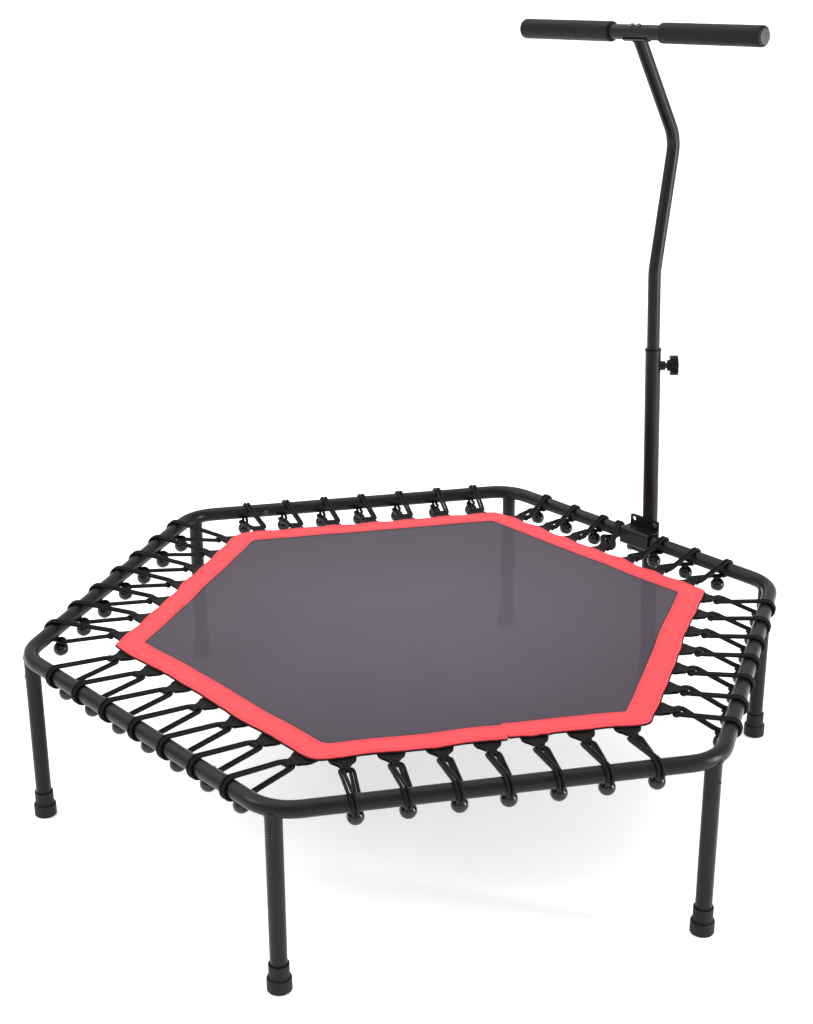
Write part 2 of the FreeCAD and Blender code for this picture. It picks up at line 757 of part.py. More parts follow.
def bar_cap(sign):
    end = sign * bar_length / 2
    bore = bar_diameter - 2 * bar_wall
    flange = rod(bar_diameter, bar_point(end), bar_point(end + sign * cap_flange_height))
    flange = rounded(flange, 1.2, [e for e in flange.Edges
                                   if len(e.Vertexes) == 1 and abs(e.CenterOfMass.x - bar_point(end).x) > 1])
    plug = rod(bore - 2 * cap_plug_clearance, bar_point(end - sign * cap_plug_length), bar_point(end))
    return flange.fuse(plug)


def build_bar():
    save("upper_tube", leaned(upper_tube()))
    save("bar_saddle", leaned(bar_saddle()))
    save("bar_screws", [leaned(bar_screw(place)) for place in bar_screw_places()])
    save("handlebar", leaned(handlebar()))
    for name, sign in (("left", -1), ("right", 1)):
        save("grip_" + name, leaned(grip(sign)))
        save("bar_cap_" + name, leaned(bar_cap(sign)))


def main():
    os.makedirs("parts", exist_ok=True)
    build_frame()
    build_legs()
    build_mat()
    build_bungees()
    build_clamp()
    build_post()
    build_bar()


main()
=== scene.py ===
import json
import math

import bmesh
import bpy
from mathutils import Matrix, Vector, noise


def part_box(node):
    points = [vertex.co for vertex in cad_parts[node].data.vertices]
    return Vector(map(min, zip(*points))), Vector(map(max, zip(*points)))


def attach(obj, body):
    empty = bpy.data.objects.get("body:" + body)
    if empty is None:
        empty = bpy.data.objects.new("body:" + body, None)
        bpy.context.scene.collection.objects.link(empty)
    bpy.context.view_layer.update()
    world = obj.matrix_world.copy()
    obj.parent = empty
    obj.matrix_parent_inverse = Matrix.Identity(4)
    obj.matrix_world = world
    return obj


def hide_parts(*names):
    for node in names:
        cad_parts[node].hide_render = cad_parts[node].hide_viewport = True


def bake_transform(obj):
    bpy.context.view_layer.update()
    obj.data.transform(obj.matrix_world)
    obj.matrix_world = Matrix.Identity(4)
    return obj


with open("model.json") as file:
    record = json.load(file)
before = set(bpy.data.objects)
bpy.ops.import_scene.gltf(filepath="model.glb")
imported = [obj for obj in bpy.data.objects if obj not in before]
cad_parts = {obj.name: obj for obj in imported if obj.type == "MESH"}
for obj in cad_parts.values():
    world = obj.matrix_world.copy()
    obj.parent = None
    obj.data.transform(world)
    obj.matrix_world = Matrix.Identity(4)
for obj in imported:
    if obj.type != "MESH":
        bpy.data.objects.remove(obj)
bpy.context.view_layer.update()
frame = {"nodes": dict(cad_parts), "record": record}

# Mini trampoline. Metres, origin on the floor under the mat's centre, +Y towards the hand bar.

# Ring and bungee stations
CORNER_RADIUS = 0.635
RING_HEIGHT = 0.290
TUBE_RADIUS = 0.0125
BEND_RADIUS = 0.075
APOTHEM = CORNER_RADIUS * math.cos(math.radians(30))
CORNER_MIDDLE = CORNER_RADIUS - BEND_RADIUS * (1 / math.cos(math.radians(30)) - 1)
BUNGEES = 7
CLAMP_STATION = -0.0425           # middle bungee of the hand bar side, pushed aside by the clamp

# Mat
MAT_CORNER = 0.500
SHEET_CORNER = MAT_CORNER - 0.012  # the woven sheet ends under the border
MAT_APOTHEM = MAT_CORNER * math.cos(math.radians(30))
BORDER_WIDTH = 0.042
MAT_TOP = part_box("mat")[1].z
MAT_THICKNESS = 0.0009
BACKING_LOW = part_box("mat_backing")[0].z
EYE_OUT = MAT_APOTHEM + 0.027
EYE_HEIGHT = BACKING_LOW - 0.0015

# Bungee cords and balls
CORD_RADIUS = 0.0026
SPAN_SPLIT = 0.0027               # half the distance between the two cords of a strand
WRAP_SPLIT = 0.0032               # the same where they lie on the ring
NEST = 0.0027                     # the same in the tab's eye
WRAP_GAP = 0.0001                 # between a cord and the ring
WRAP_START = 0.0085               # a strand's place beside its ball where it lands on the ring
WRAP_DRIFT = 0.0068               # how far it comes back towards the ball on its way round
LANDING_ANGLE = 99.0
LEAVING_ANGLE = -114.0
WRAP_STEPS = 16
CORD_STEP = 0.0035
BALL_RADIUS = 0.0125
BALL_IN = 0.0125
BALL_DISTANCE = 0.0314            # ring's centre line to the ball's centre

# Clamp and hand bar, which lean as one piece
CHANNEL_CLEARANCE = 0.0003
PLATE_THICKNESS = 0.004
PLATE_HALF_HEIGHT = 0.033
POST_RADIUS = 0.014
POST_X = 0.017
POST_Y = APOTHEM + TUBE_RADIUS + CHANNEL_CLEARANCE + PLATE_THICKNESS + POST_RADIUS
POST_LEAN = math.radians(2.4)
BAR_HEIGHT = 1.196
BAR_REACH = -0.056
BEND_HEIGHT = 1.010
BEND_REACH = 0.048
BAR_LENGTH = 0.516
GRIP_LENGTH = 0.205
GRIP_RADIUS = 0.017
GRIP_LIP = 0.0035                 # radius of the grip's rolled ends
BAR_RADIUS = 0.0125
SADDLE_RADIUS = 0.015
UPPER_TUBE_RADIUS = 0.0114        # measured just inside the upper tube's skin

# Sides of the hexagon, by the direction that each faces
SIDES = {"back_right": 30, "back": 90, "back_left": 150,
         "front_left": 210, "front": 270, "front_right": 330}
MAT_SHIFT = Vector((0.006, 0.006, 0))     # the hung mat does not sit quite in the middle

# Hand-hung bungees: pitch and shift of each side's seven, on the ring and on the mat
RING_STATIONS = {"back_right": (0.072, -0.005), "back": (0.0735, -0.008), "back_left": (0.075, 0.008),
                 "front_left": (0.077, 0.007), "front": (0.075, -0.012), "front_right": (0.0715, -0.015)}
MAT_STATIONS = {"back_right": (0.070, -0.016), "back": (0.069, 0.000), "back_left": (0.071, 0.004),
                "front_left": (0.072, 0.010), "front": (0.074, -0.007), "front_right": (0.070, -0.003)}

# How far the border's edge falls back between two tabs, and the inner and outer round of the
# corner after each side
SCALLOPS = {"back_right": 0.0018, "back": 0.0034, "back_left": 0.0026, "front_left": 0.0020,
            "front": 0.0016, "front_right": 0.0020}
CORNERS = {"back_right": (0.003, 0.010), "back": (0.006, 0.022), "back_left": (0.010, 0.050),
           "front_left": (0.003, 0.010), "front": (0.020, 0.030), "front_right": (0.006, 0.026)}
# Half the distance between the strands where they leave a tab, and how tightly its end is gathered
EYE_SPREADS = {"back_right": 0.0108, "back": 0.0108, "back_left": 0.0108, "front_left": 0.0096,
               "front": 0.0108, "front_right": 0.0074}
GATHERS = {"back_right": 1.03, "back": 1.03, "back_left": 1.03, "front_left": 1.15, "front": 1.03,
           "front_right": 1.38}
SEAM_SIDE = "front_right"         # the border's ends meet on this side
SEAM_AT = -0.034
SEAM_SLIP = 0.0034
SEAM_FADE = 0.09                  # the slip fades over this length
SEAM_NOTCH = 0.0042
SEAM_LIFT = 0.0008
SEAM_PUCKER = 0.0012
PUCKER = 0.00065
EDGE_WANDER = 0.0042
TAB_LIFT = 0.0008
RUN_STEPS = 144                   # cross sections along a side and round a corner
CORNER_STEPS = 10
RED = (0.68, 0.054, 0.065)


# ---------------------------------------------------------------- materials

def shader(name, colour, roughness, **constants):
    """A material whose constants sit on the shader's own sockets; returns what its nodes need."""
    material = bpy.data.materials.new(name)
    material.use_nodes = True
    nodes = material.node_tree.nodes
    links = material.node_tree.links
    bsdf = nodes["Principled BSDF"]
    bsdf.inputs["Base Color"].default_value = (*colour, 1)
    bsdf.inputs["Roughness"].default_value = roughness
    for socket, value in constants.items():
        bsdf.inputs[socket.replace("_", " ")].default_value = value
    return material, nodes, links, bsdf


def texture(nodes, links, kind, vector=None, **settings):
    """A new node; each setting is one of its inputs or one of its properties."""
    node = nodes.new(kind)
    for key, value in settings.items():
        if key in node.inputs:
            node.inputs[key].default_value = value
        else:
            setattr(node, key, value)
    if vector is not None:
        links.new(vector, node.inputs["Vector"])
    return node


def calculate(nodes, links, operation, first, second=None):
    """A math node's output; each operand is a number or another node's output."""
    node = nodes.new("ShaderNodeMath")
    node.operation = operation
    for socket, value in zip(node.inputs, (first, second)):
        if value is None:
            continue
        if isinstance(value, (int, float)):
            socket.default_value = value
        else:
            links.new(value, socket)
    return node.outputs[0]


def ramp(nodes, links, factor, stops):
    """A colour ramp's output, from (position, colour) stops."""
    node = nodes.new("ShaderNodeValToRGB")
    elements = node.color_ramp.elements
    while len(elements) < len(stops):
        elements.new(0.5)
    for element, (position, colour) in zip(elements, stops):
        element.position = position
        element.color = (*colour, 1)
    links.new(factor, node.inputs["Fac"])
    return node.outputs["Color"]


def grey(value):
    return (value, value, value)


def set_bump(nodes, links, bsdf, height, strength, distance):
    bump = nodes.new("ShaderNodeBump")
    bump.inputs["Strength"].default_value = strength
    bump.inputs["Distance"].default_value = distance
    links.new(height, bump.inputs["Height"])
    links.new(bump.outputs["Normal"], bsdf.inputs["Normal"])


def scaled(colour, factor):
    return tuple(channel * factor for channel in colour)


def place(nodes):
    return nodes.new("ShaderNodeTexCoord").outputs["Object"]


def moulded(name, colour, roughness, grain, strength, spread=0.35, distance=0.0004, **constants):
    """Coated metal, plastic, rubber or foam: grained bump, cloudy colour and uneven gloss."""
    material, nodes, links, bsdf = shader(name, colour, roughness, **constants)
    where = place(nodes)
    fine = texture(nodes, links, "ShaderNodeTexNoise", where, Scale=grain, Detail=3.0, Roughness=0.6)
    cloud = texture(nodes, links, "ShaderNodeTexNoise", where, Scale=14.0, Detail=5.0, Roughness=0.65)
    tone = ramp(nodes, links, cloud.outputs["Fac"],
                [(0.3, scaled(colour, 1 - spread)), (0.72, scaled(colour, 1 + spread))])
    links.new(tone, bsdf.inputs["Base Color"])
    gloss = ramp(nodes, links, cloud.outputs["Fac"],
                 [(0.3, grey(max(roughness - 0.06, 0.02))), (0.7, grey(min(roughness + 0.07, 1)))])
    links.new(gloss, bsdf.inputs["Roughness"])
    set_bump(nodes, links, bsdf, fine.outputs["Fac"], strength, distance)
    return material


def woven(name, colour, roughness, pitch, strength, depth, contrast, streak, painted_sheen_falloff=None, **constants):
    """Plain weave from object coordinates: threads along X over and under threads along Y.

    streak is the scale of the cloudy tone. painted_sheen_falloff is the tone far from the frame's origin and
    near
    it, as shares of the colour: a painted sheen in the middle that falls off to painted shade far out."""
    material, nodes, links, bsdf = shader(name, colour, roughness, **constants)
    split = nodes.new("ShaderNodeSeparateXYZ")
    where = place(nodes)
    links.new(where, split.inputs[0])
    cells = []
    crowns = []
    for axis in ("X", "Y"):
        count = calculate(nodes, links, "MULTIPLY", split.outputs[axis], 1 / pitch)
        cells.append(calculate(nodes, links, "FLOOR", count))
        part = calculate(nodes, links, "FRACT", count)
        half_turn = calculate(nodes, links, "MULTIPLY", part, math.pi)
        crowns.append(calculate(nodes, links, "SINE", half_turn))
    odd = calculate(nodes, links, "PINGPONG", calculate(nodes, links, "ADD", cells[0], cells[1]), 1.0)
    even = calculate(nodes, links, "SUBTRACT", 1.0, odd)
    over = calculate(nodes, links, "MULTIPLY", crowns[0], odd)
    under = calculate(nodes, links, "MULTIPLY", crowns[1], even)
    height = calculate(nodes, links, "ADD", over, under)
    cloud = texture(nodes, links, "ShaderNodeTexNoise", where, Scale=streak, Detail=6.0, Roughness=0.6)
    # Tone: 0.35 from the threads' height, lighter on crowns and darker in the hollows between threads
    # (painted shade), and 0.65 from a random cloudy tone.
    crown_shade_and_cloud = calculate(nodes, links, "ADD",
                      calculate(nodes, links, "MULTIPLY", height, 0.35),
                      calculate(nodes, links, "MULTIPLY", cloud.outputs["Fac"], 0.65))
    tone = ramp(nodes, links, crown_shade_and_cloud,
                [(0.2, scaled(colour, 1 - contrast)), (0.8, scaled(colour, 1 + contrast))])
    # Spherical gradient from the frame's origin: painted sheen in the middle, painted shade towards the
    # edges.
    if painted_sheen_falloff:
        near = texture(nodes, links, "ShaderNodeTexGradient", where, gradient_type="SPHERICAL")
        shade = ramp(nodes, links, near.outputs["Fac"], [(0.47, grey(painted_sheen_falloff[0])), (0.72, grey(painted_sheen_falloff[1]))])
        mix = texture(nodes, links, "ShaderNodeVectorMath", operation="MULTIPLY")
        links.new(tone, mix.inputs[0])
        links.new(shade, mix.inputs[1])
        tone = mix.outputs[0]
    links.new(tone, bsdf.inputs["Base Color"])
    set_bump(nodes, links, bsdf, height, strength, depth)
    return material


def braided(name, colour, roughness):
    """Braid that runs along the cord's own map: V counts plaits along it and U runs round it."""
    material, nodes, links, bsdf = shader(name, colour, roughness, Specular_IOR_Level=0.13)
    split = nodes.new("ShaderNodeSeparateXYZ")
    links.new(nodes.new("ShaderNodeTexCoord").outputs["UV"], split.inputs[0])
    waves = []
    for hand in (1, -1):
        round_it = calculate(nodes, links, "MULTIPLY", split.outputs["X"], 6 * hand)
        phase = calculate(nodes, links, "ADD", round_it, split.outputs["Y"])
        wave = calculate(nodes, links, "SINE", calculate(nodes, links, "MULTIPLY", phase, 2 * math.pi))
        waves.append(wave)
    plait = calculate(nodes, links, "MAXIMUM", waves[0], waves[1])
    # Colour follows the plaits' height: painted shade in the grooves between plaits and painted light on
    # their crowns.
    tone = ramp(nodes, links, plait, [(0.0, scaled(colour, 0.5)), (0.9, scaled(colour, 1.7))])
    links.new(tone, bsdf.inputs["Base Color"])
    set_bump(nodes, links, bsdf, plait, 0.5, 0.0003)
    return material


POWDER = moulded("powder_coat", (0.0058, 0.0046, 0.0062), 0.32, 1500.0, 0.10, 0.30,
                 Specular_IOR_Level=0.20)
STEEL = moulded("blackened_steel", (0.06, 0.06, 0.062), 0.36, 900.0, 0.10, 0.30, Metallic=0.75)
RUBBER = moulded("moulded_rubber", (0.0065, 0.0060, 0.0064), 0.60, 700.0, 0.25, 0.30,
                 Specular_IOR_Level=0.24)
PLASTIC = moulded("black_plastic", (0.0036, 0.0036, 0.0038), 0.30, 800.0, 0.12, 0.25,
                  Specular_IOR_Level=0.12)
BALL = moulded("glossy_ball", (0.0042, 0.0040, 0.0045), 0.13, 500.0, 0.05, 0.30,
               Specular_IOR_Level=0.34)
FOAM = moulded("foam", (0.0048, 0.0036, 0.0038), 0.42, 2600.0, 0.40, 0.30,
               Specular_IOR_Level=0.15)
CAP = moulded("grey_cap", (0.030, 0.030, 0.032), 0.38, 600.0, 0.10, 0.20)
# (0.55, 1.0): the mat's colour carries painted shade towards its edges and a painted sheen in its middle.
WEAVE = woven("mat_weave", (0.078, 0.058, 0.087), 0.55, 0.0013, 0.35, 0.00025, 0.20, 3.5, (0.55, 1.0),
              Specular_IOR_Level=0.30, Alpha=0.88)
BORDER = woven("border_satin", RED, 0.46, 0.0008, 0.22, 0.00012, 0.14, 26.0, Specular_IOR_Level=0.28)
THREAD = woven("red_thread", scaled(RED, 0.62), 0.55, 0.0006, 0.30, 0.0001, 0.15, 30.0)
WEBBING = woven("black_webbing", (0.0032, 0.0025, 0.0029), 0.50, 0.0016, 0.60, 0.0004, 0.40, 40.0,
                Specular_IOR_Level=0.14)
CORD = braided("bungee_braid", (0.0026, 0.0021, 0.0025), 0.55)

FINISHES = {
    "black_tube": POWDER, "dark_steel": STEEL, "black_rubber": RUBBER, "mat_weave": WEAVE,
    "red_border": BORDER, "black_webbing": WEBBING, "bungee_cord": CORD, "black_ball": BALL,
    "black_plastic": PLASTIC, "foam_grip": FOAM, "grey_cap": CAP,
}


def finish_cad_nodes():
    """Every CAD node that stays shown gets the detailed material of its slot."""
    for part in frame["record"]["subparts"]:
        node = frame["nodes"][part["node"]]
        node.data.materials.clear()
        node.data.materials.append(FINISHES[part["material_slot"]])


# ---------------------------------------------------------------- mesh helpers

def side_point(side, along, out, height):
    """A point from a side's own measures: along it, out from the middle of the mat, and up."""
    turn = math.radians(SIDES[side])
    return Vector((along * math.sin(turn) + out * math.cos(turn),
                   -along * math.cos(turn) + out * math.sin(turn), height))


def mat_point(side, along, out, height):
    return side_point(side, along, out, height) + MAT_SHIFT


def leaned(point):
    """A point of the upright hand bar, after the bar tips about its clamp."""
    pivot = Vector((POST_X, POST_Y, RING_HEIGHT))
    return Matrix.Rotation(-POST_LEAN, 3, "Y") @ (Vector(point) - pivot) + pivot


def piece(name, build, material, body, replaces=(), smooth=True):
    """A named mesh piece whose faces build(bm) makes; it rides on a CAD body."""
    bm = bmesh.new()
    bm.loops.layers.uv.new("map")
    build(bm)
    bmesh.ops.recalc_face_normals(bm, faces=bm.faces)
    mesh = bpy.data.meshes.new(name)
    bm.to_mesh(mesh)
    bm.free()
    for polygon in mesh.polygons:
        polygon.use_smooth = smooth
    obj = bpy.data.objects.new(name, mesh)
    bpy.context.scene.collection.objects.link(obj)
    obj.data.materials.append(material)
    if body:
        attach(obj, body)
    if replaces:
        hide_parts(*replaces)
    return obj


def circle(count):
    """(cosine, sine) pairs at even steps round a whole turn."""
    return [(math.cos(2 * math.pi * i / count), math.sin(2 * math.pi * i / count)) for i in range(count)]


def grid(bm, rows, close_rows=False, close_columns=False):
    """Quads between rows of points; both directions may close on themselves."""
    verts = [[bm.verts.new(point) for point in row] for row in rows]
    layer = bm.loops.layers.uv.active
    high = len(rows) if close_rows else len(rows) - 1
    wide = len(rows[0]) if close_columns else len(rows[0]) - 1
    for i in range(high):
        for j in range(wide):
            corners = [(i, j), (i + 1, j), (i + 1, j + 1), (i, j + 1)]
            face = bm.faces.new([verts[a % len(rows)][b % len(rows[0])] for a, b in corners])
            for loop, (a, b) in zip(face.loops, corners):
                loop[layer].uv = (b / wide, a)
    return verts


def fan(bm, ring):
    """Closes a ring of vertices with a triangle fan."""
    middle = bm.verts.new(sum((v.co for v in ring), Vector()) / len(ring))
    for first, second in zip(ring, ring[1:] + ring[:1]):
        bm.faces.new((first, second, middle))


def smooth_path(points, step):
    """Points at an even step on a smooth curve through the given ones."""
    curve = []
    padded = [2 * points[0] - points[1]] + points + [2 * points[-1] - points[-2]]
    for p0, p1, p2, p3 in zip(padded, padded[1:], padded[2:], padded[3:]):
        count = max(2, round((p2 - p1).length / step))
        for i in range(count):
            t = i / count
            curve.append(0.5 * (2 * p1 + (p2 - p0) * t + (2 * p0 - 5 * p1 + 4 * p2 - p3) * t * t
                                + (3 * p1 - p0 - 3 * p2 + p3) * t ** 3))
    curve.append(points[-1])
    return curve


def sweep(bm, path, radius, sides, closed=False):
    """A tube along a path; radius is a number or a function of the place along it."""
    count = len(path)
    normal = None
    rows = []
    for i, point in enumerate(path):
        ahead = path[(i + 1) % count] if closed or i < count - 1 else point
        behind = path[i - 1] if closed or i else point
        along = (ahead - behind).normalized()
        if normal is None:
            normal = along.orthogonal()
        normal = (normal - along * normal.dot(along)).normalized()
        other = along.cross(normal)
        size = radius(i) if callable(radius) else radius
        rows.append([point + (normal * cosine + other * sine) * size for cosine, sine in circle(sides)])
    verts = grid(bm, rows, close_rows=closed, close_columns=True)
    if not closed:
        fan(bm, verts[0])
        fan(bm, verts[-1])


def lathe(bm, profile, sides, centre, axis):
    """Turns (radius, height) pairs round an axis through a centre."""
    axis = Vector(axis).normalized()
    across = axis.orthogonal().normalized()
    other = axis.cross(across)
    rows = [[centre + axis * height + (across * cosine + other * sine) * radius
             for cosine, sine in circle(sides)] for radius, height in profile]
    verts = grid(bm, rows, close_columns=True)
    fan(bm, verts[0])
    fan(bm, verts[-1])


# ---------------------------------------------------------------- mat

def mat_drop(point):
    """The taut mat sags a little towards its middle and ripples very slightly."""
    share = min(1.0, Vector((point.x, point.y)).length / MAT_APOTHEM)
    ripple = noise.noise(Vector((point.x * 6, point.y * 6, 3.0)))
    return (-0.0022 * (1 - share * share) + 0.0005 * ripple) * (1 - share ** 6)


def build_mat_sheet(bm):
    """A triangular grid over the hexagon, hidden under the border at its edge."""
    rings = 52
    step = SHEET_CORNER / rings
    spokes = [Vector((1, 0, 0)), Vector((math.cos(math.radians(60)), math.sin(math.radians(60)), 0))]
    verts = {}

    def vertex(q, r):
        if (q, r) not in verts:
            point = (spokes[0] * q + spokes[1] * r) * step
            point.z = MAT_TOP + mat_drop(point)
            verts[q, r] = bm.verts.new(point + MAT_SHIFT)
        return verts[q, r]

    def inside(q, r):
        return max(abs(q), abs(r), abs(q + r)) <= rings

    for q in range(-rings, rings + 1):
        for r in range(-rings, rings + 1):
            for triangle in (((q, r), (q + 1, r), (q, r + 1)), ((q + 1, r), (q + 1, r + 1), (q, r + 1))):
                if all(inside(*corner) for corner in triangle):
                    bm.faces.new([vertex(*corner) for corner in triangle])
    bmesh.ops.recalc_face_normals(bm, faces=bm.faces)
    if next(iter(bm.faces)).normal.z > 0:
        bmesh.ops.reverse_faces(bm, faces=bm.faces)
    bmesh.ops.solidify(bm, geom=bm.faces[:], thickness=MAT_THICKNESS)


def scallop(side, along):
    """How far the edge falls back: nothing at a tab, most half way between two tabs and beyond."""
    pitch, shift = MAT_STATIONS[side]
    turn = (along - shift) / pitch
    if abs(turn) > BUNGEES / 2:
        return SCALLOPS[side]
    return SCALLOPS[side] * (1 - math.cos(2 * math.pi * turn)) / 2


def seam_slip(side, along):
    """How much the border's overlapping end runs inwards of the end below it, from 1 at the seam."""
    if side != SEAM_SIDE or along > SEAM_AT:
        return 0.0
    return math.exp((along - SEAM_AT) / SEAM_FADE)


def border_point(side, along, t, out, lift, fall):
    """A point on the border, t 0 at its inner edge and 1 at its outer edge.

    Its edges wander, it puckers more beside the seam, it is notched at the seam, and it lifts a
    little at each tab."""
    wander = noise.noise(Vector((along * 13, SIDES[side], 0.4)))
    pucker = noise.noise(Vector((along * 80 + t * 1.6, SIDES[side] + 7, t * 2.5)))
    near_seam = math.exp(-((along - SEAM_AT + 0.03) / 0.035) ** 2) if side == SEAM_SIDE else 0.0
    notch = math.exp(-((along - SEAM_AT) / 0.0018) ** 2) if side == SEAM_SIDE else 0.0
    slip = seam_slip(side, along)
    out -= fall * t * t + EDGE_WANDER * wander * (0.7 + 0.3 * t)
    out -= SEAM_SLIP * slip + SEAM_NOTCH * notch * t ** 6
    height = TAB_LIFT * (1 - fall / 0.004) * t * t
    height += (PUCKER + SEAM_PUCKER * near_seam) * pucker * min(1, 4 * abs(t))
    height += SEAM_LIFT * slip
    return mat_point(side, along, out, MAT_TOP + lift + height)


def rounds(t):
    """The corner's radius after each side, at a place across the border."""
    return {side: inner + (outer - inner) * max(0.0, t) for side, (inner, outer) in CORNERS.items()}


def straight(side, out, t):
    """How far a side's straight run reaches both ways from its middle."""
    names = list(SIDES)
    before = rounds(t)[names[names.index(side) - 1]]
    after = rounds(t)[side]
    return (out - before) * math.tan(math.radians(30)), (out - after) * math.tan(math.radians(30))


def corner_point(side, following, share, t, out, lift):
    """A point on the arc that joins the ends of two sides' straight runs."""
    radius = rounds(t)[side]
    end = -straight(side, out, t)[1]
    start = straight(following, out, t)[0]
    first = border_point(side, end, t, out, lift, scallop(side, end))
    last = border_point(following, start, t, out, lift, scallop(following, start))
    falls = [out - (p - MAT_SHIFT).xy.dot(side_point(name, 0, 1, 0).xy)
             for p, name in ((first, side), (last, following))]
    turn = math.radians(SIDES[side] + 60 * share)
    middle = math.radians(SIDES[side] + 30)
    reach = (out - radius) / math.cos(math.radians(30))
    size = radius - (falls[0] * (1 - share) + falls[1] * share)
    height = first.z * (1 - share) + last.z * share
    return Vector((reach * math.cos(middle) + size * math.cos(turn),
                   reach * math.sin(middle) + size * math.sin(turn), height)) + MAT_SHIFT


def ring_rows(profile, outer):
    """Rows of cross sections round the hexagon. The profile holds (t, lift) pairs."""
    rows = []
    names = list(SIDES)
    for side, following in zip(names, names[1:] + names[:1]):
        shares = [i / RUN_STEPS * 2 - 1 for i in range(RUN_STEPS + 1)]
        if side == SEAM_SIDE:
            shares += [(SEAM_AT + edge) / straight(side, outer, 1)[1] for edge in (-0.0001, 0.0001)]
        for share in sorted(shares, reverse=True):
            row = []
            for t, lift in profile:
                out = outer - BORDER_WIDTH * (1 - t)
                before, after = straight(side, out, t)
                along = share * (before if share > 0 else after)
                row.append(border_point(side, along, t, out, lift, scallop(side, along)))
            rows.append(row)
        for i in range(1, CORNER_STEPS):
            share = i / CORNER_STEPS
            rows.append([corner_point(side, following, share, t, outer - BORDER_WIDTH * (1 - t), lift)
                         for t, lift in profile])
    return rows


def build_border(bm):
    top = [(0.0, 0.00005), (0.004, 0.0010), (0.02, 0.00135)]
    top += [(i / 12, 0.00135 + 0.00025 * math.sin(math.pi * i / 12)) for i in range(1, 12)]
    top += [(0.975, 0.00130), (0.993, 0.0008), (1.0, 0.0001), (0.995, -0.0012), (0.97, -0.0014),
            (0.03, -0.0002)]
    grid(bm, ring_rows(top, MAT_APOTHEM), close_rows=True, close_columns=True)


def build_backing(bm):
    profile = [(0.0, -0.0016), (0.5, -0.0015), (0.98, -0.0014), (0.996, -0.0016), (1.0, -0.0022),
               (0.995, -0.0029), (0.97, -0.0031), (0.5, -0.0031), (0.01, -0.0030)]
    grid(bm, ring_rows(profile, MAT_APOTHEM + 0.0017), close_rows=True, close_columns=True)


def build_border_inner_line(bm):
    """A thin dark line swept along the border's inner edge."""
    path = [row[0] for row in ring_rows([(-0.012, 0.0004)], MAT_APOTHEM)]
    sweep(bm, path, 0.00065, 6, closed=True)


def add_stitch(bm, start, end, radius, arch):
    """One stitch: a short thread that dips into the cloth at both ends."""
    middle = (start + end) / 2 + arch
    quarter = (start * 3 + end) / 4 + arch * 0.8
    three = (start + end * 3) / 4 + arch * 0.8
    sweep(bm, [start, quarter, middle, three, end], lambda i: radius * (0.6, 1, 1, 1, 0.6)[i], 5)


def build_border_stitches(bm):
    """Two rows of stitches through the border, near its inner and outer edges."""
    pitch = 0.0042
    for side in SIDES:
        for t in (0.10, 0.88):
            out = MAT_APOTHEM - BORDER_WIDTH * (1 - t)
            before, after = straight(side, out, t)
            for i in range(int((before + after) / pitch)):
                along = -after + (i + 0.2) * pitch
                ends = [border_point(side, a, t, out, 0.00145, scallop(side, a))
                        for a in (along, along + 0.0030)]
                add_stitch(bm, *ends, 0.00032, Vector((0, 0, 0.0004)))


# ---------------------------------------------------------------- webbing tabs

TAB_WIDTHS = [(-0.030, 0.0200), (0.000, 0.0200), (0.005, 0.0185), (0.011, 0.0140), (0.017, 0.0112),
              (0.023, 0.0100), (0.0325, 0.0096)]


def mat_station(side, index):
    pitch, shift = MAT_STATIONS[side]
    return (index - (BUNGEES - 1) / 2) * pitch + shift


def tab_half_width(side, reach):
    width = TAB_WIDTHS[-1][1]
    for (low, first), (high, second) in zip(TAB_WIDTHS, TAB_WIDTHS[1:]):
        if reach <= high:
            share = min(1.0, max(0.0, (reach - low) / (high - low)))
            width = first + (second - first) * (share * share * (3 - 2 * share))
            break
    return TAB_WIDTHS[0][1] - (TAB_WIDTHS[0][1] - width) * GATHERS[side]


def tab_path():
    """The webbing's middle line, out over the cord, round it and back: (reach, height)."""
    loop = 0.0052
    line = [(reach / 1000, BACKING_LOW - 0.0008) for reach in (-30, -22, -14, -7, 0, 5, 10, 15, 20)]
    for degrees in range(70, -241, -18):
        turn = math.radians(degrees)
        line.append((0.027 + loop * math.cos(turn) * 0.92, EYE_HEIGHT + loop * math.sin(turn) * 0.86))
    line += [(reach / 1000, BACKING_LOW - 0.0027) for reach in (17, 12, 6, 0, -8, -18, -27)]
    return line


def build_tabs(bm, side):
    columns = 14
    thick = 0.0006
    path = tab_path()
    for index in range(BUNGEES):
        offset = mat_station(side, index)
        layers = []
        for sign in (1, -1):
            rows = []
            for i, (reach, height) in enumerate(path):
                ahead = path[min(i + 1, len(path) - 1)]
                behind = path[max(i - 1, 0)]
                slope = Vector((ahead[0] - behind[0], ahead[1] - behind[1])).normalized()
                half = tab_half_width(side, reach)
                gather = max(0.0, 1 - half / 0.020)
                row = []
                for j in range(columns + 1):
                    across = j / columns * 2 - 1
                    fold = gather * 0.0016 * math.cos(across * math.pi * 2.5 + index)
                    curl = 0.0011 * gather * abs(across) ** 3
                    rough = 0.0003 * noise.noise(Vector((across * 3, reach * 120, index + SIDES[side])))
                    push = sign * thick + (fold * 0.35 + curl + rough)
                    row.append(mat_point(side, offset + across * half, MAT_APOTHEM + reach - slope.y * push,
                                         height + slope.x * push))
                rows.append(row)
            layers.append(rows)
        loops = [top + bottom[::-1] for top, bottom in zip(layers[0], layers[1])]
        verts = grid(bm, loops, close_columns=True)
        bm.faces.new(verts[0])
        bm.faces.new(verts[-1])


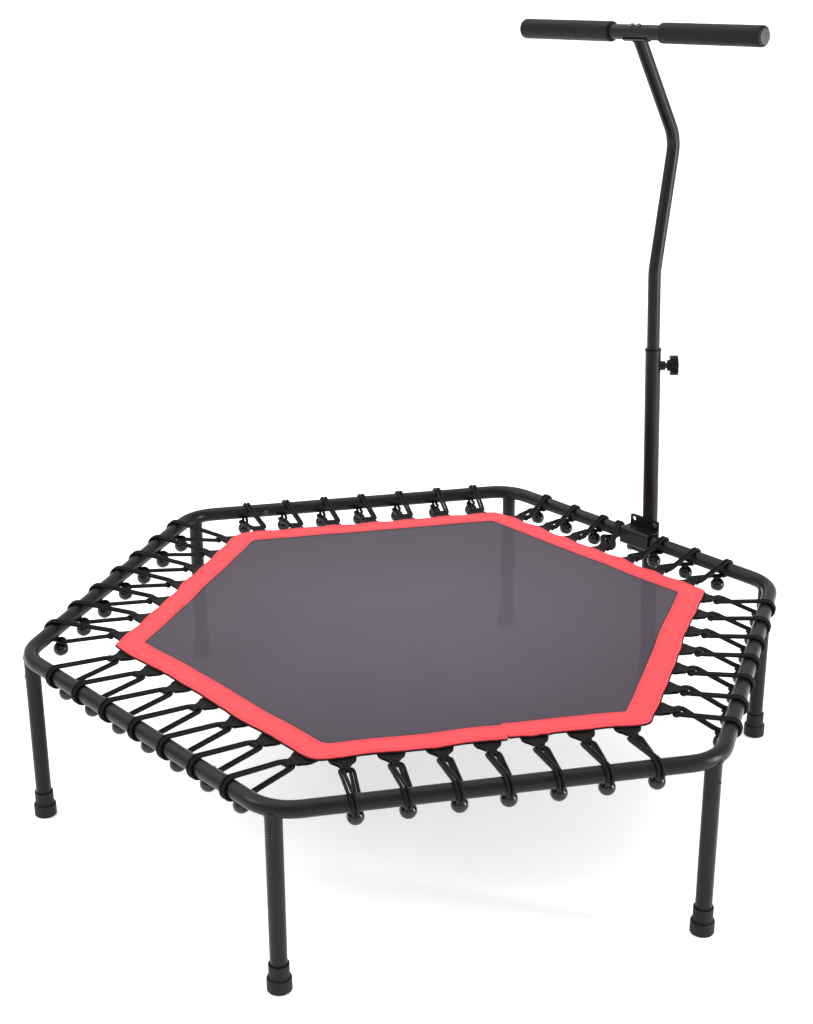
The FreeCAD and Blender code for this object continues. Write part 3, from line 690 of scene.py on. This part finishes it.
def build_tab_stitches(bm):
    """A box of stitches through each tab, on its underside."""
    low = BACKING_LOW - 0.0036
    half, near, far = 0.016, 0.403, 0.427
    corners = [(-half, near), (half, near), (half, far), (-half, far), (-half, near), (half, far)]
    for side in SIDES:
        for index in range(BUNGEES):
            offset = mat_station(side, index)
            for (a, b), (c, d) in zip(corners, corners[1:]):
                count = int(math.hypot(c - a, d - b) / 0.004)
                for i in range(count):
                    ends = [mat_point(side, offset + a + (c - a) * s, b + (d - b) * s, low)
                            for s in ((i + 0.15) / count, (i + 0.85) / count)]
                    add_stitch(bm, *ends, 0.0003, Vector((0, 0, -0.0004)))


# ---------------------------------------------------------------- bungees

def stations(side):
    """(place along the ring and the mat, how far the mat hangs outwards, eye spread) of each bungee."""
    pitch, shift = RING_STATIONS[side]
    turn = math.radians(SIDES[side])
    aside = MAT_SHIFT.x * math.sin(turn) - MAT_SHIFT.y * math.cos(turn)
    outwards = MAT_SHIFT.x * math.cos(turn) + MAT_SHIFT.y * math.sin(turn)
    found = []
    for index in range(BUNGEES):
        ring = (index - (BUNGEES - 1) / 2) * pitch + shift
        ring += 0.003 * noise.noise(Vector((index * 1.7, SIDES[side], 9.5)))
        if side == "back" and index == BUNGEES // 2:
            ring = CLAMP_STATION
        found.append((ring, mat_station(side, index) + aside, outwards, EYE_SPREADS[side]))
    return found


def ball_place():
    """Ball centre in a side's out and up measures, and the direction to the ring's centre line."""
    drop = math.sqrt(BALL_DISTANCE ** 2 - BALL_IN ** 2)
    return APOTHEM - BALL_IN, RING_HEIGHT - drop


def round_tube(radius, degrees):
    """A place round the ring tube in a side's out and up measures."""
    turn = math.radians(degrees)
    return APOTHEM + radius * math.cos(turn), RING_HEIGHT + radius * math.sin(turn)


def between(first, last):
    """Two points on the straight line between two others."""
    return [tuple(Vector(first).lerp(Vector(last), share)) for share in (0.35, 0.7)]


def bungee_half(ring, mat, outwards, spread, sign):
    """One cord of the pair, from the ball's hole through the tab's eye and round the ring, in the
    side's along, out and up measures. sign 1 is the cord that lies outside at the eye."""
    out, up = ball_place()
    wrap = TUBE_RADIUS + CORD_RADIUS + WRAP_GAP
    nest = sign * NEST
    eye = EYE_OUT + outwards
    points = [
        (ring - 0.0005 + sign * 0.0012, out + 0.0030, up + 0.0075),
        (ring - 0.0015 + sign * 0.0015, out + 0.0038, up + 0.0118),
        (ring - 0.0045 - sign * SPAN_SPLIT * 0.6, out + 0.0010, up + 0.0150),
        (ring - 0.0070 - sign * SPAN_SPLIT, out - 0.0110, up + 0.0170),
    ]
    into_eye = (mat - spread - nest, eye + 0.0065, EYE_HEIGHT - 0.0006)
    points += between(points[-1], into_eye)
    points += [
        into_eye,
        (mat - spread + 0.0014 - nest * 0.8, eye + 0.0018 - nest * 0.4, EYE_HEIGHT - 0.0002),
        (mat - 0.54 * spread, eye - nest * 0.75, EYE_HEIGHT),
        (mat + 0.54 * spread, eye - nest * 0.75, EYE_HEIGHT),
        (mat + spread - 0.0014 + nest * 0.8, eye + 0.0018 - nest * 0.4, EYE_HEIGHT + 0.0004),
        (mat + spread + nest, eye + 0.0065, EYE_HEIGHT + 0.0012),
    ]
    round_ring = []
    for i in range(WRAP_STEPS + 1):
        share = i / WRAP_STEPS
        degrees = LANDING_ANGLE + (LEAVING_ANGLE - LANDING_ANGLE) * share
        along = ring + WRAP_START - WRAP_DRIFT * share + sign * WRAP_SPLIT
        round_ring.append((along, *round_tube(wrap, degrees)))
    return points + between(points[-1], round_ring[0]) + round_ring


def bungee_path(ring, mat, outwards, spread):
    """The whole loop: up from the ball, through the eye, over the ring, round the ball's neck and back."""
    out, up = ball_place()
    first = bungee_half(ring, mat, outwards, spread, 1)
    last = bungee_half(ring, mat, outwards, spread, -1)
    neck = [(ring + 0.0052, out, up + 0.0165), (ring + 0.0045, out - 0.0060, up + 0.0150),
            (ring + 0.0005, out - 0.0082, up + 0.0142), (ring - 0.0030, out - 0.0060, up + 0.0148),
            (ring - 0.0036, out, up + 0.0163)]
    return first + neck + last[::-1]


def build_cords(bm, side):
    for station in stations(side):
        local = [Vector(point) for point in bungee_path(*station)]
        path = [side_point(side, *point) for point in smooth_path(local, CORD_STEP)]
        sweep(bm, path, CORD_RADIUS, 9)


def ball_profile():
    """Half outline of a drilled ball, from the hole that faces the ring to the knot's pocket."""
    profile = [(0.0026, 0.0040), (0.0034, 0.0060), (0.0035, 0.0112), (0.0039, 0.01175)]
    for degrees in range(22, 150, 4):
        turn = math.radians(degrees)
        mould_line = 0.00010 if abs(degrees - 90) < 2.5 else 0.0
        radius = BALL_RADIUS + mould_line
        profile.append((radius * math.sin(turn), radius * math.cos(turn)))
    profile += [(0.0058, -0.0109), (0.0055, -0.0104), (0.0054, -0.0060), (0.0050, -0.0056)]
    return profile


def ball_frame(side, ring):
    """A ball's centre and the direction of its hole."""
    out, up = ball_place()
    centre = side_point(side, ring, out, up)
    axis = side_point(side, ring, APOTHEM, RING_HEIGHT) - centre
    return centre, axis.normalized()


def build_balls(bm, side):
    for ring, *_ in stations(side):
        centre, axis = ball_frame(side, ring)
        lathe(bm, ball_profile(), 40, centre, axis)


def build_knots(bm):
    """The cord's ends are tied in each ball's pocket."""
    for side in SIDES:
        for ring, *_ in stations(side):
            centre, axis = ball_frame(side, ring)
            across = axis.orthogonal().normalized()
            other = axis.cross(across)
            middle = centre - axis * 0.0093
            path = []
            for i in range(36):               # a trefoil
                t = 2 * math.pi * i / 36
                x = math.sin(t) + 2 * math.sin(2 * t)
                y = math.cos(t) - 2 * math.cos(2 * t)
                path.append(middle + (across * x + other * y) * 0.00125 + axis * (math.sin(3 * t) * 0.0010))
            sweep(bm, path, 0.0013, 6, closed=True)


# ---------------------------------------------------------------- welds and grips

def bead(bm, path, size, closed):
    """A painted weld: a rippled bead along a path."""
    sweep(bm, path, lambda i: size * (1 + 0.10 * math.sin(i * 1.9)), 8, closed=closed)


def build_welds(bm):
    """Beads round the tops of the leg sockets and beside the post on its clamp plate."""
    for corner in range(0, 360, 60):
        turn = Matrix.Rotation(math.radians(corner), 3, "Z")
        path = []
        limit = TUBE_RADIUS * 0.97
        for cosine, sine in circle(72):
            x = TUBE_RADIUS * cosine
            y = TUBE_RADIUS * sine
            across = min(limit, max(-limit, x + y * y / (2 * BEND_RADIUS)))
            drop = math.sqrt(TUBE_RADIUS ** 2 - across ** 2)
            path.append(turn @ Vector((CORNER_MIDDLE + x * 1.01, y * 1.01, RING_HEIGHT - drop)))
        bead(bm, path, 0.0012, True)
    for sign in (-1, 1):
        low, high = RING_HEIGHT - PLATE_HALF_HEIGHT, RING_HEIGHT + PLATE_HALF_HEIGHT
        path = [leaned((POST_X + sign * 0.0072, POST_Y - 0.0126, low + (high - low) * i / 44))
                for i in range(45)]
        bead(bm, path, 0.0019, False)


def bar_axes():
    """The bar's middle, the last straight run of the upper tube, and the direction across both."""
    middle = leaned((POST_X, POST_Y + BAR_REACH, BAR_HEIGHT))
    bend = leaned((POST_X, POST_Y + BEND_REACH, BEND_HEIGHT))
    sideways = (leaned((POST_X + 1, POST_Y + BAR_REACH, BAR_HEIGHT)) - middle).normalized()
    run = (middle - bend).normalized()
    return middle, run, sideways, run.cross(sideways)


def build_saddle_weld(bm):
    """A bead where the upper tube meets the round back of the saddle."""
    middle, run, sideways, across = bar_axes()
    path = []
    for cosine, sine in circle(56):
        x, y = UPPER_TUBE_RADIUS * cosine, UPPER_TUBE_RADIUS * sine
        back = math.sqrt(SADDLE_RADIUS ** 2 - y ** 2)
        path.append(middle + (sideways * x + across * y) * 1.03 - run * (back + 0.0004))
    bead(bm, path, 0.0013, True)


def build_grip(bm, sign):
    """A foam sleeve with rolled ends and the small dents of use."""
    middle, _, sideways, _ = bar_axes()
    across = sideways.orthogonal().normalized()
    other = sideways.cross(across)
    inner_end, outer_end = BAR_LENGTH / 2 - GRIP_LENGTH, BAR_LENGTH / 2
    roll = [math.pi / 2 * i / 4 for i in range(1, 5)]
    lips = [(GRIP_LIP * (1 - math.sin(turn)), GRIP_RADIUS - GRIP_LIP * (1 - math.cos(turn))) for turn in roll]
    profile = [(inner_end, BAR_RADIUS + 0.0001)]
    profile += [(inner_end + inset, radius) for inset, radius in reversed(lips)]
    for i in range(91):
        share = i / 90
        profile.append((outer_end - GRIP_LENGTH * (1 - share) + GRIP_LIP * (1 - 2 * share), GRIP_RADIUS))
    profile += [(outer_end - inset, radius) for inset, radius in lips]
    profile.append((outer_end, BAR_RADIUS + 0.0001))
    rows = []
    for reach, radius in profile:
        row = []
        for cosine, sine in circle(48):
            away = across * cosine + other * sine
            dent = 0.00022 * noise.noise(Vector((reach * 60, cosine * 1.5, sine * 1.5 + sign)))
            row.append(middle + sideways * (sign * reach) + away * (radius + dent))
        rows.append(row)
    grid(bm, rows, close_columns=True)


# ---------------------------------------------------------------- the object

def build_object():
    """Replaces the soft pieces and the balls, and adds stitches, knots and welds."""
    finish_cad_nodes()
    sheet = piece("mat_sheet", build_mat_sheet, WEAVE, "jumping_mat", ["mat"])
    on_mat = [
        piece("mat_border_webbing", build_border, BORDER, "jumping_mat", ["mat_border"]),
        piece("mat_backing_webbing", build_backing, WEBBING, "jumping_mat", ["mat_backing"]),
        piece("border_inner_dark_line", build_border_inner_line, WEBBING, "jumping_mat"),
        piece("border_stitches", build_border_stitches, THREAD, "jumping_mat"),
        piece("tab_stitches", build_tab_stitches, WEBBING, "jumping_mat"),
    ]
    for side in SIDES:
        on_mat.append(piece("webbing_tabs_" + side, lambda bm: build_tabs(bm, side), WEBBING,
                            "jumping_mat", ["mat_tabs_" + side]))
        cords = piece("bungee_loops_" + side, lambda bm: build_cords(bm, side), CORD, None,
                      ["bungee_cords_" + side])
        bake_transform(cords)
        piece("drilled_balls_" + side, lambda bm: build_balls(bm, side), BALL, "frame",
              ["bungee_balls_" + side])
    piece("ball_knots", build_knots, CORD, "frame")
    piece("weld_beads", build_welds, POWDER, "frame")
    piece("saddle_weld", build_saddle_weld, POWDER, "hand_bar")
    for name, sign in (("left", -1), ("right", 1)):
        grip = piece("foam_grip_" + name, lambda bm: build_grip(bm, sign), FOAM, "hand_bar",
                     ["grip_" + name])


# ---------------------------------------------------------------- studio

def area_light(name, location, target, size, power):
    light = bpy.data.lights.new(name, "AREA")
    light.shape = "RECTANGLE"
    light.size, light.size_y = size
    light.energy = power
    obj = bpy.data.objects.new(name, light)
    obj.location = location
    obj.rotation_euler = (Vector(target) - Vector(location)).to_track_quat("-Z", "Y").to_euler()
    bpy.context.scene.collection.objects.link(obj)


def build_studio():
    """White floor and sky, one broad overhead panel, a key light and a side light."""
    world = bpy.data.worlds.new("studio")
    bpy.context.scene.world = world
    world.use_nodes = True
    background = world.node_tree.nodes["Background"]
    background.inputs["Color"].default_value = (1, 1, 1, 1)
    background.inputs["Strength"].default_value = 0.80

    floor_mesh = bpy.data.meshes.new("floor")
    corners = [(60 * x, 60 * y, -0.0003) for x, y in ((-1, -1), (1, -1), (1, 1), (-1, 1))]
    floor_mesh.from_pydata(corners, [], [(0, 1, 2, 3)])
    floor = bpy.data.objects.new("floor", floor_mesh)
    bpy.context.scene.collection.objects.link(floor)
    floor_material = shader("floor_paper", (0.92, 0.92, 0.92), 0.9, Specular_IOR_Level=0.0,
                            Emission_Color=(1, 1, 1, 1), Emission_Strength=0.36)[0]
    floor_mesh.materials.append(floor_material)

    sun = bpy.data.lights.new("sky_panel", "SUN")
    sun.energy = 1.75
    sun.angle = math.radians(70)
    sun_object = bpy.data.objects.new("sky_panel", sun)
    sun_object.rotation_euler = Vector((0.35, 0.10, -1)).to_track_quat("-Z", "Y").to_euler()
    bpy.context.scene.collection.objects.link(sun_object)
    area_light("key", (-1.6, -3.0, 2.6), (0, 0, 0.4), (0.8, 1.6), 40)
    area_light("side", (3.2, 1.8, 1.0), (0, 0, 0.6), (0.45, 1.8), 105)


def build_camera():
    """The photo's camera, solved from the ring's straight tubes."""
    camera = bpy.data.cameras.new("camera")
    camera.sensor_width = 36.0
    camera.lens = 58.75
    camera.clip_start = 0.05
    camera.clip_end = 200.0
    obj = bpy.data.objects.new("camera", camera)
    right = Vector((0.6712, 0.7412, -0.0033)).normalized()
    forward = Vector((-0.6914, 0.6245, -0.3633)).normalized()
    up = right.cross(forward).normalized()
    turn = Matrix((right, up, -forward)).transposed().to_4x4()
    obj.matrix_world = Matrix.Translation((1.8623, -1.6992, 1.4636)) @ turn
    bpy.context.scene.collection.objects.link(obj)
    bpy.context.scene.camera = obj
    bpy.context.scene.view_settings.view_transform = "Standard"


build_object()
build_studio()
build_camera()
